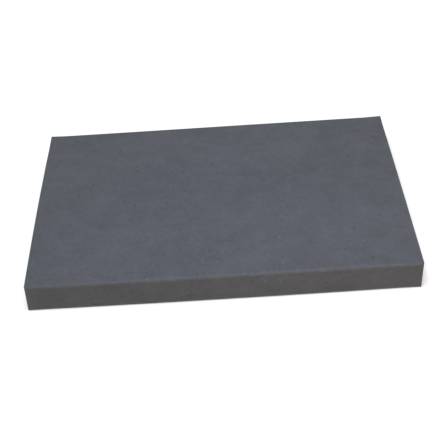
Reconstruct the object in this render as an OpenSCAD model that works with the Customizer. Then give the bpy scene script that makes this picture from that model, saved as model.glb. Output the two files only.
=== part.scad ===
// Foam insert for a foot bath.
// One slab, cut from a block of soft open-cell foam, that lies flat in the bath's tray,
// soaks up the disinfectant and gives it back to a shoe sole that presses on it.
// The blade leaves flat faces and square corners, and handling soon rounds every edge a little.
// Millimetres. Origin: middle of the underside. X runs along the length, Y across, Z up.

/* [Slab] */
// Length of the slab, end to end
slab_length = 600; // [300:5:900]
// Width of the slab, front to back
slab_width = 400; // [200:5:600]
// Thickness of the slab
slab_thickness = 50; // [20:1:80]

/* [Edges] */
// Radius of the rounded edges round the tread face and the underside
edge_radius = 4.5; // [1:0.5:8]
// Radius of the four upright corners, in plan
corner_radius = 4.5; // [1:0.5:12]

/* [Hidden] */
$fn = 96;
half_length = slab_length / 2;
half_width = slab_width / 2;
// The three profiles run this far past the slab, so that only their sides shape it
overrun = 20;

// A rectangle about the origin with round corners: two crossing bars and four corner discs
module rounded_rectangle(width, height, radius) {
    square([width - 2 * radius, height], center = true);
    square([width, height - 2 * radius], center = true);
    for (x = [-1, 1], y = [-1, 1])
        translate([x * (width / 2 - radius), y * (height / 2 - radius)])
            circle(r = radius);
}

// The outline seen from above, drawn up through the slab
module plan_prism() {
    translate([0, 0, -overrun])
        linear_extrude(height = slab_thickness + 2 * overrun)
            rounded_rectangle(slab_length, slab_width, corner_radius);
}

// The section along the length, drawn from the front to the back
module long_section_prism() {
    translate([0, half_width + overrun, slab_thickness / 2])
        rotate([90, 0, 0])
            linear_extrude(height = slab_width + 2 * overrun)
                rounded_rectangle(slab_length, slab_thickness, edge_radius);
}

// The section across the width, drawn from one end to the other
module cross_section_prism() {
    translate([-half_length - overrun, 0, slab_thickness / 2])
        rotate([90, 0, 90])
            linear_extrude(height = slab_length + 2 * overrun)
                rounded_rectangle(slab_width, slab_thickness, edge_radius);
}

// The slab is what the outline and both sections share, so all its edges come out round
module foam_slab() {
    color([0.36, 0.37, 0.40])
        intersection() {
            plan_prism();
            long_section_prism();
            cross_section_prism();
        }
}

foam_slab();
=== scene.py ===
import math

import bpy
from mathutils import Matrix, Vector


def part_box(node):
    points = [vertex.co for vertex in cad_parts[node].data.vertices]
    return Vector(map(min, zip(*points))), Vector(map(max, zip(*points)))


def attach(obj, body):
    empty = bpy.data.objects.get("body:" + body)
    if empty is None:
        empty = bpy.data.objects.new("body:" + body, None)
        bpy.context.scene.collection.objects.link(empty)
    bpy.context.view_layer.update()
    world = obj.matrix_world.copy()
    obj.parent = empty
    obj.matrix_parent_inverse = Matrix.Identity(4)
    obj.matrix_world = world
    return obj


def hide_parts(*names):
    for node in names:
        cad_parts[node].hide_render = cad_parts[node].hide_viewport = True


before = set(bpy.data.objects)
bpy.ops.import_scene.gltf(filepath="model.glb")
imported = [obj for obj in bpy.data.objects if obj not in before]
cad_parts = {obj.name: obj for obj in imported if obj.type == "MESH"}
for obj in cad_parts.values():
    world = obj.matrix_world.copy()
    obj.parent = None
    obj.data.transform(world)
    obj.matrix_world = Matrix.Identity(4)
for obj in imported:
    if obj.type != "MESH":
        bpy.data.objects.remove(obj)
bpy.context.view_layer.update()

scene = bpy.context.scene


# ---------------------------------------------------------------------------------------------
# Foam slab
# The insert is one slab of soft open-cell polyurethane foam, dyed charcoal right through.
# A band knife cuts it from a block, so its faces are flat but not dead true, each side bows out
# a little where the foam sprang back, and the knife lays open the larger cells in its way.
# ---------------------------------------------------------------------------------------------

low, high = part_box("foam_slab")
slab_size = high - low
slab_middle = (low + high) / 2

# The long edges are rubbed round. The back corners, and the foot of the front ones, stay crisper
# over the last stretch of the sides.
edge_rounding = 0.0045
corner_rounding = 0.0018
crisp_stretch = 0.045
# Corners turn crisp between these two places: 0 is the slab's middle, 1 its back or top, -1 its foot
crisp_towards_back = (0.0, 0.8)
crisp_towards_foot = (0.4, -0.8)

# How far the ends of each side fall back from its middle: X at the left or right, Y at the front or back
bow_left_and_front = (0.0016, 0.0015, 0.0)
bow_right_and_back = (0.0004, 0.0, 0.0)
# The knife stood a little off square at both ends, so the top lies this far to the right of the foot
end_lean = 0.00125
# How deep every face wanders inwards from true, in waves that run longer along the slab
knife_wander = 0.0005
knife_wave_length = 0.085
knife_wave_stretch = (0.6, 1.0, 1.0)

cell_spacing = 0.010
cells_per_square_metre = 5200.0
smallest_cell_radius = 0.00055
largest_cell_radius = 0.0026
# The higher, the fewer of the opened cells are large
small_cell_bias = 6.0
# How wide a cell is along each of its own three axes, in radii
narrowest_cell = 0.75
widest_cell = 1.3
# How far a cell's middle lies above the cut, in radii. The large ones lie higher: they were grazed.
lowest_cell_middle = -0.1
highest_cell_middle = 0.25
large_cell_lift = 0.55
foam_seed = 11

mesh_spacing = 0.005
rows_in_an_edge = 3
finest_detail = 0.00001


def add_node(tree, kind, inputs=None, **options):
    """Adds a node, sets its options, and fills inputs, named by identifier, with values or links."""
    node = tree.nodes.new(kind)
    for option, choice in options.items():
        setattr(node, option, choice)
    sockets = {socket.identifier: socket for socket in node.inputs}
    for identifier, value in (inputs or {}).items():
        if isinstance(value, bpy.types.NodeSocket):
            tree.links.new(value, sockets[identifier])
        else:
            sockets[identifier].default_value = value
    return node


def result(node):
    """The output that a node's options leave in use."""
    return next(socket for socket in node.outputs if socket.enabled)


def number(tree, operation, a, b=0.0, c=0.0):
    """The result of one step of arithmetic on single values."""
    inputs = {"Value": a, "Value_001": b, "Value_002": c}
    return add_node(tree, "ShaderNodeMath", inputs, operation=operation).outputs[0]


def vector(tree, operation, a, b=None):
    """The result of one step of arithmetic on vectors. SCALE takes a single value as b."""
    inputs = {"Vector": a}
    if b is not None:
        inputs["Scale" if operation == "SCALE" else "Vector_001"] = b
    return add_node(tree, "ShaderNodeVectorMath", inputs, operation=operation).outputs["Vector"]


def joined(tree, x=0.0, y=0.0, z=0.0):
    """A vector made of three single values."""
    return add_node(tree, "ShaderNodeCombineXYZ", {"X": x, "Y": y, "Z": z}).outputs[0]


def parted(tree, whole):
    """The three single values of a vector, by the names X, Y and Z."""
    return add_node(tree, "ShaderNodeSeparateXYZ", {"Vector": whole}).outputs


def smooth_step(tree, value, start, end):
    """Rises smoothly from 0 to 1 as a value goes from start to end."""
    node = add_node(tree, "ShaderNodeMapRange", {
        "Value": value, "From Min": start, "From Max": end, "To Min": 0.0, "To Max": 1.0},
        interpolation_type="SMOOTHSTEP")
    return node.outputs["Result"]


def smooth_fall(tree, value, start, end):
    """Falls smoothly from 1 to 0 as a value goes from start to end."""
    node = add_node(tree, "ShaderNodeMapRange", {
        "Value": value, "From Min": start, "From Max": end, "To Min": 1.0, "To Max": 0.0},
        interpolation_type="SMOOTHSTEP")
    return node.outputs["Result"]


def rounding_at(tree, place, half, given):
    """How round the edges are at a place: rubbed along the sides, crisper at some of the corners."""
    inside = parted(tree, vector(tree, "SUBTRACT", half, vector(tree, "ABSOLUTE", place)))
    share = parted(tree, vector(tree, "DIVIDE", place, half))
    stretch = given["Crisp stretch"]
    at_a_corner = number(tree, "MULTIPLY", smooth_step(tree, inside["X"], stretch, 0.0),
                         smooth_step(tree, inside["Y"], stretch, 0.0))
    at_the_back = smooth_step(tree, share["Y"], *crisp_towards_back)
    at_the_foot = smooth_step(tree, share["Z"], *crisp_towards_foot)
    crisp = number(tree, "MULTIPLY", at_a_corner, number(tree, "MAXIMUM", at_the_back, at_the_foot))
    loss = number(tree, "SUBTRACT", given["Edge rounding"], given["Corner rounding"])
    return number(tree, "SUBTRACT", given["Edge rounding"], number(tree, "MULTIPLY", crisp, loss))


def knife_cut_block(tree, given):
    """The block as cut: an even grid on a box, drawn into flat faces with finely divided round edges."""
    half = vector(tree, "SCALE", given["Size"], 0.5)
    place = add_node(tree, "GeometryNodeInputPosition").outputs[0]
    radius = rounding_at(tree, place, half, given)
    core = vector(tree, "SUBTRACT", half, joined(tree, radius, radius, radius))
    rows_per_metre = number(tree, "DIVIDE", 1.0, given["Mesh spacing"])
    flat_rows = vector(tree, "CEIL", vector(tree, "SCALE", given["Size"], rows_per_metre))
    edge_rows = number(tree, "MULTIPLY", given["Rows in an edge"], 2.0)
    all_rows = vector(tree, "ADD", flat_rows, joined(tree, edge_rows, edge_rows, edge_rows))
    counts = parted(tree, all_rows)
    grid = add_node(tree, "GeometryNodeMeshCube", {
        "Size": given["Size"],
        "Vertices X": number(tree, "ADD", counts["X"], 1.0),
        "Vertices Y": number(tree, "ADD", counts["Y"], 1.0),
        "Vertices Z": number(tree, "ADD", counts["Z"], 1.0),
    })
    # Where the edge rows begin on the even grid
    edge_share = vector(tree, "DIVIDE", vector(tree, "SCALE", half, edge_rows), all_rows)
    even_core = vector(tree, "SUBTRACT", half, edge_share)
    side = vector(tree, "SIGN", place)
    reach = vector(tree, "ABSOLUTE", place)
    drawn = vector(tree, "DIVIDE", vector(tree, "MULTIPLY", reach, core), even_core)
    on_core = vector(tree, "MINIMUM", drawn, core)
    past_core = vector(tree, "MAXIMUM", vector(
        tree, "DIVIDE", vector(tree, "SUBTRACT", reach, even_core),
        vector(tree, "SUBTRACT", half, even_core)), (0.0, 0.0, 0.0))
    rounded = vector(tree, "ADD", on_core, vector(
        tree, "SCALE", vector(tree, "NORMALIZE", past_core), radius))
    return add_node(tree, "GeometryNodeSetPosition", {
        "Geometry": grid.outputs["Mesh"], "Position": vector(tree, "MULTIPLY", side, rounded)}).outputs[0]


def sprung_back(tree, block, given):
    """Bows the four sides outwards, leans the ends, and lets every face wander inwards from true."""
    half = vector(tree, "SCALE", given["Size"], 0.5)
    place = add_node(tree, "GeometryNodeInputPosition").outputs[0]
    share = vector(tree, "DIVIDE", place, half)
    squared = parted(tree, vector(tree, "MULTIPLY", share, share))
    across = joined(tree, squared["Y"], squared["X"])
    to_low = vector(tree, "MAXIMUM", vector(tree, "SCALE", share, -1.0), (0.0, 0.0, 0.0))
    to_high = vector(tree, "MAXIMUM", share, (0.0, 0.0, 0.0))
    pull = vector(tree, "SUBTRACT",
                  vector(tree, "MULTIPLY", to_low, given["Bow of left and front"]),
                  vector(tree, "MULTIPLY", to_high, given["Bow of right and back"]))
    sides = parted(tree, share)
    above = number(tree, "MULTIPLY_ADD", sides["Z"], 0.5, 0.5)
    below = number(tree, "SUBTRACT", 1.0, above)
    to_left = number(tree, "MAXIMUM", number(tree, "MULTIPLY", sides["X"], -1.0), 0.0)
    to_right = number(tree, "MAXIMUM", sides["X"], 0.0)
    leaning = number(tree, "SUBTRACT", number(tree, "MULTIPLY", to_left, above),
                     number(tree, "MULTIPLY", to_right, below))
    lean = joined(tree, number(tree, "MULTIPLY", leaning, given["End lean"]))
    moved = vector(tree, "ADD", vector(tree, "MULTIPLY", pull, across), lean)
    bowed = add_node(tree, "GeometryNodeSetPosition", {"Geometry": block, "Offset": moved}).outputs[0]
    wander = add_node(tree, "ShaderNodeTexNoise", {
        "Vector": vector(tree, "MULTIPLY", place, knife_wave_stretch), "W": given["Seed"],
        "Scale": number(tree, "DIVIDE", 1.0, given["Knife wave length"]),
        "Detail": 2.5, "Roughness": 0.45}, noise_dimensions="4D").outputs["Fac"]
    depth = number(tree, "MULTIPLY", wander, number(tree, "MULTIPLY", given["Knife wander"], -1.0))
    normal = add_node(tree, "GeometryNodeInputNormal").outputs["Normal"]
    return add_node(tree, "GeometryNodeSetPosition", {
        "Geometry": bowed, "Offset": vector(tree, "SCALE", normal, depth)}).outputs[0]


def random_number(tree, least, most, seed):
    """A chance value for each cell."""
    return result(add_node(tree, "FunctionNodeRandomValue", {
        "Min_001": least, "Max_001": most, "Seed": seed}, data_type="FLOAT"))


def random_vector(tree, least, most, seed):
    """Three chance values for each cell."""
    return result(add_node(tree, "FunctionNodeRandomValue", {
        "Min": (least, least, least), "Max": (most, most, most), "Seed": seed}, data_type="FLOAT_VECTOR"))


def opened_cells(tree, block, given):
    """Scoops out the larger cells that the knife opened: small uneven hollows all over the slab."""
    seeds = add_node(tree, "GeometryNodeDistributePointsOnFaces", {
        "Mesh": block, "Distance Min": given["Cell spacing"],
        "Density Max": given["Cells per square metre"], "Density Factor": 1.0,
        "Seed": given["Seed"]}, distribute_method="POISSON")
    chance = random_number(tree, 0.0, 1.0, number(tree, "ADD", given["Seed"], 1.0))
    largeness = number(tree, "POWER", chance, small_cell_bias)
    growth = number(tree, "SUBTRACT", given["Largest cell radius"], given["Smallest cell radius"])
    radius = number(tree, "MULTIPLY_ADD", largeness, growth, given["Smallest cell radius"])
    stretch = random_vector(tree, narrowest_cell, widest_cell, number(tree, "ADD", given["Seed"], 2.0))
    spin = random_vector(tree, 0.0, math.tau, number(tree, "ADD", given["Seed"], 3.0))
    lift = random_number(tree, lowest_cell_middle, highest_cell_middle,
                         number(tree, "ADD", given["Seed"], 4.0))
    lifted = number(tree, "MULTIPLY_ADD", largeness, large_cell_lift, lift)
    raised = add_node(tree, "GeometryNodeSetPosition", {
        "Geometry": seeds.outputs["Points"],
        "Offset": vector(tree, "SCALE", seeds.outputs["Normal"],
                         number(tree, "MULTIPLY", radius, lifted))})
    ball = add_node(tree, "GeometryNodeMeshIcoSphere", {"Radius": 1.0, "Subdivisions": 2})
    cells = add_node(tree, "GeometryNodeInstanceOnPoints", {
        "Points": raised.outputs[0], "Instance": ball.outputs["Mesh"], "Rotation": spin,
        "Scale": vector(tree, "SCALE", stretch, radius)})
    realized = add_node(tree, "GeometryNodeRealizeInstances", {"Geometry": cells.outputs[0]})
    hollowed = add_node(tree, "GeometryNodeMeshBoolean", {
        "Mesh 1": block, "Mesh 2": realized.outputs[0]}, operation="DIFFERENCE", solver="MANIFOLD")
    # The scooping leaves slivers finer than any real detail
    return add_node(tree, "GeometryNodeMergeByDistance", {
        "Geometry": hollowed.outputs["Mesh"], "Distance": given["Finest detail"]}).outputs[0]


def foam_tree(settings, finish):
    """The whole slab as one geometry tree with the given named inputs."""
    tree = bpy.data.node_groups.new("foam_slab_shape", "GeometryNodeTree")
    tree.is_modifier = True
    tree.interface.new_socket("Geometry", in_out="OUTPUT", socket_type="NodeSocketGeometry")
    for name, (kind, _) in settings.items():
        tree.interface.new_socket(name, in_out="INPUT", socket_type=kind)
    given = add_node(tree, "NodeGroupInput").outputs
    slab = knife_cut_block(tree, given)
    slab = sprung_back(tree, slab, given)
    slab = opened_cells(tree, slab, given)
    slab = add_node(tree, "GeometryNodeSetPosition", {
        "Geometry": slab, "Offset": given["Middle"]}).outputs[0]
    realized = add_node(tree, "GeometryNodeRealizeInstances", {"Geometry": slab})
    finished = add_node(tree, "GeometryNodeSetMaterial", {
        "Geometry": realized.outputs[0], "Material": finish})
    out = add_node(tree, "NodeGroupOutput")
    tree.links.new(finished.outputs[0], out.inputs["Geometry"])
    return tree


def effect_group(name, inputs, outputs):
    """A new shader group, what it is given and what it puts out. An input is a name, kind and value."""
    group = bpy.data.node_groups.new(name, "ShaderNodeTree")
    group.interface.new_socket("Vector", in_out="INPUT", socket_type="NodeSocketVector")
    for title, kind, value in inputs:
        group.interface.new_socket(title, in_out="INPUT", socket_type=kind).default_value = value
    for title in outputs:
        group.interface.new_socket(title, in_out="OUTPUT", socket_type="NodeSocketFloat")
    given = add_node(group, "NodeGroupInput").outputs
    out = add_node(group, "NodeGroupOutput").inputs
    return group, given, out


def bent(group, place, scale, reach):
    """A place pushed about by noise, so that what is drawn there gets uneven outlines."""
    push = add_node(group, "ShaderNodeTexNoise", {
        "Vector": place, "Scale": scale, "Detail": 1.0}).outputs["Color"]
    return vector(group, "ADD", place, vector(
        group, "SCALE", vector(group, "SUBTRACT", push, (0.5, 0.5, 0.5)), reach))


def between(group, chance, least, most):
    """A chance value from 0 to 1, spread out from the least to the most."""
    return number(group, "MULTIPLY_ADD", chance, most - least, least)


def foam_cells_group():
    """Shader group: foam cells of one width that a knife cut through, as open mouths between struts."""
    wall_bends_in_a_cell = 0.9
    wall_bend = 0.45
    unevenness = 0.9
    chance_blend = 0.04
    thinnest_strut = 0.3
    thickest_strut = 1.7
    bowl_width = 0.30
    skin_depth = 0.2
    group, given, out = effect_group("foam_cells", (
        ("Cell width", "NodeSocketFloat", 0.001), ("Strut", "NodeSocketFloat", 0.1),
        ("Share open", "NodeSocketFloat", 0.8)), ("Opening", "Height"))
    scale = number(group, "DIVIDE", 1.0, given["Cell width"])
    pushed = bent(group, given["Vector"], number(group, "MULTIPLY", scale, wall_bends_in_a_cell),
                  number(group, "MULTIPLY", given["Cell width"], wall_bend))
    cell = {"Vector": pushed, "Scale": scale, "Randomness": unevenness}
    wall = add_node(group, "ShaderNodeTexVoronoi", cell, feature="DISTANCE_TO_EDGE").outputs["Distance"]
    colour = add_node(group, "ShaderNodeTexVoronoi", cell, feature="F1").outputs["Color"]
    chance = add_node(group, "ShaderNodeSeparateColor", {"Color": colour}).outputs
    # A cell is open where its first chance is under the share. The second sets how thick its struts are.
    is_open = smooth_fall(group, chance["Red"],
                          number(group, "SUBTRACT", given["Share open"], chance_blend),
                          number(group, "ADD", given["Share open"], chance_blend))
    thickness = between(group, chance["Green"], thinnest_strut, thickest_strut)
    strut = number(group, "MULTIPLY", given["Strut"], thickness)
    mouth = smooth_step(group, wall, strut, number(group, "ADD", strut, bowl_width))
    # The material darkens the open mouths: painted shade in the cell hollows
    opening = number(group, "MULTIPLY", is_open, mouth)
    # Cells that kept their skin are shallow dishes
    depth = number(group, "MAXIMUM", opening, number(group, "MULTIPLY", mouth, skin_depth))
    group.links.new(opening, out["Opening"])
    group.links.new(number(group, "SUBTRACT", 1.0, depth), out["Height"])
    return group


def slab_faces_group():
    """Shader group: masks of where on the slab a place is, along an edge or on one of the four sides."""
    group, given, out = effect_group("slab_faces", (
        ("Middle", "NodeSocketVector", slab_middle), ("Half size", "NodeSocketVector", slab_size / 2),
        ("Edge width", "NodeSocketVector", (0.0040, 0.0040, 0.0062)),
        ("Side start", "NodeSocketFloat", 0.0002), ("Side blend", "NodeSocketFloat", 0.0042)),
        ("Edge", "Side"))
    reach = vector(group, "ABSOLUTE", vector(group, "SUBTRACT", given["Vector"], given["Middle"]))
    inside = vector(group, "SUBTRACT", given["Half size"], reach)
    # How near each pair of faces is, from 0 to 1
    near = vector(group, "SUBTRACT", (1.0, 1.0, 1.0), vector(group, "DIVIDE", inside, given["Edge width"]))
    near = parted(group, vector(group, "MAXIMUM", near, (0.0, 0.0, 0.0)))
    pairs = [number(group, "MULTIPLY", near[p], near[q]) for p, q in (("X", "Y"), ("Y", "Z"), ("X", "Z"))]
    nearest = number(group, "MAXIMUM", pairs[0], number(group, "MAXIMUM", pairs[1], pairs[2]))
    # This mask lightens the foam in the material: a painted highlight along the rounded edges
    edge_highlight_mask = number(group, "MINIMUM", number(group, "SQRT", nearest), 1.0)
    # A place is on a side where it lies deeper under the top than behind the side
    deep = parted(group, inside)
    under = number(group, "SUBTRACT", deep["Z"], number(group, "MINIMUM", deep["X"], deep["Y"]))
    side_end = number(group, "ADD", given["Side start"], given["Side blend"])
    # The side mask swaps the painted cool light of the top for the painted warm light of the sides
    side = smooth_step(group, under, given["Side start"], side_end)
    group.links.new(edge_highlight_mask, out["Edge"])
    group.links.new(side, out["Side"])
    return group


def scattered_spots_group():
    """Shader group: a mask of small uneven spots, scattered one to a cell in a share of the cells."""
    bends_in_a_radius = 0.8
    outline_bend = 1.6
    smallest_spot = 0.55
    largest_spot = 1.45
    solid_share = 0.5
    weakest_spot = 0.3
    strongest_spot = 1.0
    group, given, out = effect_group("scattered_spots", (
        ("Cell width", "NodeSocketFloat", 0.006), ("Share", "NodeSocketFloat", 0.1),
        ("Spot radius", "NodeSocketFloat", 0.001)), ("Mask",))
    pushed = bent(group, given["Vector"], number(group, "DIVIDE", bends_in_a_radius, given["Spot radius"]),
                  number(group, "MULTIPLY", given["Spot radius"], outline_bend))
    spot = add_node(group, "ShaderNodeTexVoronoi", {
        "Vector": pushed, "Scale": number(group, "DIVIDE", 1.0, given["Cell width"]), "Randomness": 1.0},
        feature="F1").outputs
    # The first chance says which spots are kept, the second how large and the third how strong they are
    chance = add_node(group, "ShaderNodeSeparateColor", {"Color": spot["Color"]}).outputs
    largeness = between(group, chance["Green"], smallest_spot, largest_spot)
    radius = number(group, "MULTIPLY", number(
        group, "DIVIDE", given["Spot radius"], given["Cell width"]), largeness)
    within = smooth_fall(group, spot["Distance"], number(group, "MULTIPLY", radius, solid_share), radius)
    kept = number(group, "LESS_THAN", chance["Red"], given["Share"])
    strength = between(group, chance["Blue"], weakest_spot, strongest_spot)
    mask = number(group, "MULTIPLY", number(group, "MULTIPLY", within, kept), strength)
    group.links.new(mask, out["Mask"])
    return group


def drawn_effect(tree, group, place, values):
    """Puts a shader group in a material, at a place and with its own values, and gives its outputs."""
    node = add_node(tree, "ShaderNodeGroup", node_tree=group)
    tree.links.new(place, node.inputs["Vector"])
    for name, value in values.items():
        node.inputs[name].default_value = value
    return node.outputs


def cloudiness(tree, place, squeeze, scale, detail):
    """Noise from 0 to 1, which runs longer along an axis that is squeezed."""
    return add_node(tree, "ShaderNodeTexNoise", {
        "Vector": vector(tree, "MULTIPLY", place, squeeze), "Scale": scale,
        "Detail": detail}).outputs["Fac"]


def charcoal_foam():
    """Matte charcoal foam: fine open cells, pale flecks and dark specks, painted shade in the cell mouths,
    a painted highlight on the edges, and painted light that tints the top cooler than the sides.
    """
    # Painted light: the top is tinted cooler and bluer and the sides warmer, as the lamps tint them; the
    # foam itself is one colour
    top_charcoal_painted_cool_light = (0.0839, 0.0865, 0.0944, 1.0)
    side_charcoal_painted_warm_light = (0.0882, 0.0865, 0.0868, 1.0)
    # Sets the scatter of the specks apart from that of the flecks
    speck_shift = (0.37, 0.51, 0.13)
    cell_depth = 0.00024
    # A coarse cell is this many times as deep as a fine one
    coarse_depth = 2.0
    material = bpy.data.materials.new("cut_charcoal_foam")
    material.use_nodes = True
    tree = material.node_tree
    tree.nodes.clear()
    place = add_node(tree, "ShaderNodeTexCoord").outputs["Object"]

    cells = foam_cells_group()
    # The openings of the fine and coarse cells darken the foam below: painted shade in the cell mouths
    fine = drawn_effect(tree, cells, place, {"Cell width": 0.0007, "Strut": 0.06, "Share open": 0.80})
    coarse = drawn_effect(tree, cells, place, {"Cell width": 0.0021, "Strut": 0.10, "Share open": 0.05})
    faces = drawn_effect(tree, slab_faces_group(), place, {})
    spots = scattered_spots_group()
    flecks = drawn_effect(tree, spots, place, {"Cell width": 0.007, "Share": 0.11, "Spot radius": 0.0013})
    specks = drawn_effect(tree, spots, vector(tree, "ADD", place, speck_shift), {
        "Cell width": 0.008, "Share": 0.08, "Spot radius": 0.0015})
    mottle = cloudiness(tree, place, squeeze=(1.0, 0.8, 1.0), scale=130.0, detail=2.0)
    streaks = cloudiness(tree, place, squeeze=(0.85, 1.0, 1.0), scale=34.0, detail=2.0)
    drift = cloudiness(tree, place, squeeze=(0.6, 1.0, 1.0), scale=7.0, detail=1.0)

    # Lightness varies about 1 with the clouds. Each mask then scales it, by its second number where
    # the mask is 0, and by the sum of both where it is 1.
    shade = 1.0
    for cloud, strength in ((mottle, 0.21), (streaks, 0.27), (drift, 0.20)):
        shade = number(tree, "MULTIPLY_ADD", number(tree, "SUBTRACT", cloud, 0.5), strength, shade)
    # Flecks don't show on the edges, where a painted highlight lies
    off_edge = number(tree, "SUBTRACT", 1.0, faces["Edge"])
    fleck = number(tree, "MULTIPLY", flecks["Mask"], off_edge)
    # The edge mask adds a painted highlight along the rounded edges
    for mask, change, base in ((fine["Opening"], -0.28, 1.06), (coarse["Opening"], -0.28, 1.01),
                               (fleck, 1.0, 1.0), (specks["Mask"], -0.25, 1.0), (faces["Edge"], 0.27, 1.0)):
        shade = number(tree, "MULTIPLY", shade, number(tree, "MULTIPLY_ADD", mask, change, base))
    # Painted light: the sides take the warmer charcoal, the top the cooler one
    charcoal = add_node(tree, "ShaderNodeMix", {
        "Factor_Float": faces["Side"], "A_Color": top_charcoal_painted_cool_light, "B_Color": side_charcoal_painted_warm_light},
        data_type="RGBA")
    height = number(tree, "MULTIPLY_ADD", coarse["Height"], coarse_depth, fine["Height"])
    bump = add_node(tree, "ShaderNodeBump", {"Strength": 1.0, "Distance": cell_depth, "Height": height})
    shader = add_node(tree, "ShaderNodeBsdfPrincipled", {
        "Base Color": vector(tree, "SCALE", result(charcoal), shade), "Roughness": 0.95,
        "Specular IOR Level": 0.15, "Normal": bump.outputs["Normal"]})
    out = add_node(tree, "ShaderNodeOutputMaterial")
    tree.links.new(shader.outputs[0], out.inputs["Surface"])
    return material


foam_settings = {
    "Size": ("NodeSocketVector", slab_size),
    "Middle": ("NodeSocketVector", slab_middle),
    "Edge rounding": ("NodeSocketFloat", edge_rounding),
    "Corner rounding": ("NodeSocketFloat", corner_rounding),
    "Crisp stretch": ("NodeSocketFloat", crisp_stretch),
    "Mesh spacing": ("NodeSocketFloat", mesh_spacing),
    "Rows in an edge": ("NodeSocketInt", rows_in_an_edge),
    "Bow of left and front": ("NodeSocketVector", bow_left_and_front),
    "Bow of right and back": ("NodeSocketVector", bow_right_and_back),
    "End lean": ("NodeSocketFloat", end_lean),
    "Knife wander": ("NodeSocketFloat", knife_wander),
    "Knife wave length": ("NodeSocketFloat", knife_wave_length),
    "Cell spacing": ("NodeSocketFloat", cell_spacing),
    "Cells per square metre": ("NodeSocketFloat", cells_per_square_metre),
    "Smallest cell radius": ("NodeSocketFloat", smallest_cell_radius),
    "Largest cell radius": ("NodeSocketFloat", largest_cell_radius),
    "Finest detail": ("NodeSocketFloat", finest_detail),
    "Seed": ("NodeSocketInt", foam_seed),
}
slab = bpy.data.objects.new("charcoal_foam_slab", bpy.data.meshes.new("uncut_foam"))
scene.collection.objects.link(slab)
cutting = slab.modifiers.new("cutting", "NODES")
cutting.node_group = foam_tree(foam_settings, charcoal_foam())
for socket in cutting.node_group.interface.items_tree:
    if socket.in_out == "INPUT":
        cutting[socket.identifier] = foam_settings[socket.name][1]
cut_slab = slab.evaluated_get(bpy.context.evaluated_depsgraph_get())
slab_mesh = bpy.data.meshes.new_from_object(cut_slab)
slab.modifiers.remove(cutting)
# The scooping leaves an empty slot before the foam's
slab_mesh.materials.pop(index=0)
slab_mesh.name = "charcoal_foam_slab"
slab.data = slab_mesh
# Edges sharper than this, such as the rims of the scooped cells, stay sharp in the shading
sharp_edge = math.radians(38.0)
slab_mesh.shade_smooth()
slab_mesh.set_sharp_from_angle(angle=sharp_edge)

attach(slab, "root")
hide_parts("foam_slab")


# ---------------------------------------------------------------------------------------------
# Studio floor
# The slab lies loose on a wide floor of matte white paper, the kind that comes on a roll. A plain
# white surround lights it from all round.
# ---------------------------------------------------------------------------------------------

floor_half = 6.0
floor_white = (0.92, 0.92, 0.92, 1.0)
surround_strength = 0.29

floor_mesh = bpy.data.meshes.new("studio_floor")
floor_mesh.from_pydata([(-floor_half, -floor_half, 0.0), (floor_half, -floor_half, 0.0),
                        (floor_half, floor_half, 0.0), (-floor_half, floor_half, 0.0)], [], [(0, 1, 2, 3)])
floor = bpy.data.objects.new("studio_floor", floor_mesh)
scene.collection.objects.link(floor)
floor_finish = bpy.data.materials.new("studio_white")
floor_finish.use_nodes = True
paper = floor_finish.node_tree.nodes["Principled BSDF"]
paper.inputs["Base Color"].default_value = floor_white
paper.inputs["Roughness"].default_value = 1.0
floor_mesh.materials.append(floor_finish)

world = bpy.data.worlds.new("studio")
scene.world = world
world.use_nodes = True
surround = world.node_tree.nodes["Background"]
surround.inputs["Color"].default_value = (1.0, 1.0, 1.0, 1.0)
surround.inputs["Strength"].default_value = surround_strength


# ---------------------------------------------------------------------------------------------
# Lights
# A large soft key stands high over the front, a little to its left. A cool softbox hangs over the
# front half of the slab, and a low warm panel stands at the right of the front.
# ---------------------------------------------------------------------------------------------


def hang_light(name, data, place, aim):
    """Puts a light at a place, turned to face a point."""
    light = bpy.data.objects.new(name, data)
    scene.collection.objects.link(light)
    light.location = place
    light.rotation_euler = (Vector(place) - Vector(aim)).to_track_quat("Z", "Y").to_euler()


def softbox(name, width, height, energy, colour):
    """A flat rectangular light."""
    data = bpy.data.lights.new(name, "AREA")
    data.shape = "RECTANGLE"
    data.size = width
    data.size_y = height
    data.energy = energy
    data.color = colour
    return data


key = bpy.data.lights.new("soft_key", "SUN")
key.energy = 2.548
key.angle = math.radians(45.0)
key.color = (1.0, 1.0, 0.949)
hang_light("soft_key", key, place=(-0.0885, -0.2432, 0.9659), aim=(0.0, 0.0, 0.0))

overhead = softbox("overhead_softbox", width=0.6, height=0.35, energy=2.935, colour=(0.469, 0.625, 1.0))
hang_light("overhead_softbox", overhead, place=(0.0, -0.17, 0.75), aim=(0.0, -0.17, 0.0))

panel = softbox("low_panel", width=0.6, height=0.5, energy=2.194, colour=(1.0, 0.635, 0.469))
hang_light("low_panel", panel, place=(0.75, -0.95, 0.40), aim=(0.15, -0.2, 0.02))


# ---------------------------------------------------------------------------------------------
# Camera
# A long lens looks down on the front of the slab from about 1.6 m away. The camera is tilted about
# 3 degrees off level, and its lens is shifted a little sideways.
# ---------------------------------------------------------------------------------------------

camera_data = bpy.data.cameras.new("camera")
camera_data.sensor_width = 36.0
camera_data.lens = 76.906
camera_data.shift_x = 0.0182
camera = bpy.data.objects.new("camera", camera_data)
camera.location = (0.01145, -1.22427, 0.9926)
camera.rotation_euler = [math.radians(degrees) for degrees in (50.7214, 3.3127, -1.5328)]
scene.collection.objects.link(camera)
scene.camera = camera
scene.view_settings.view_transform = "Standard"
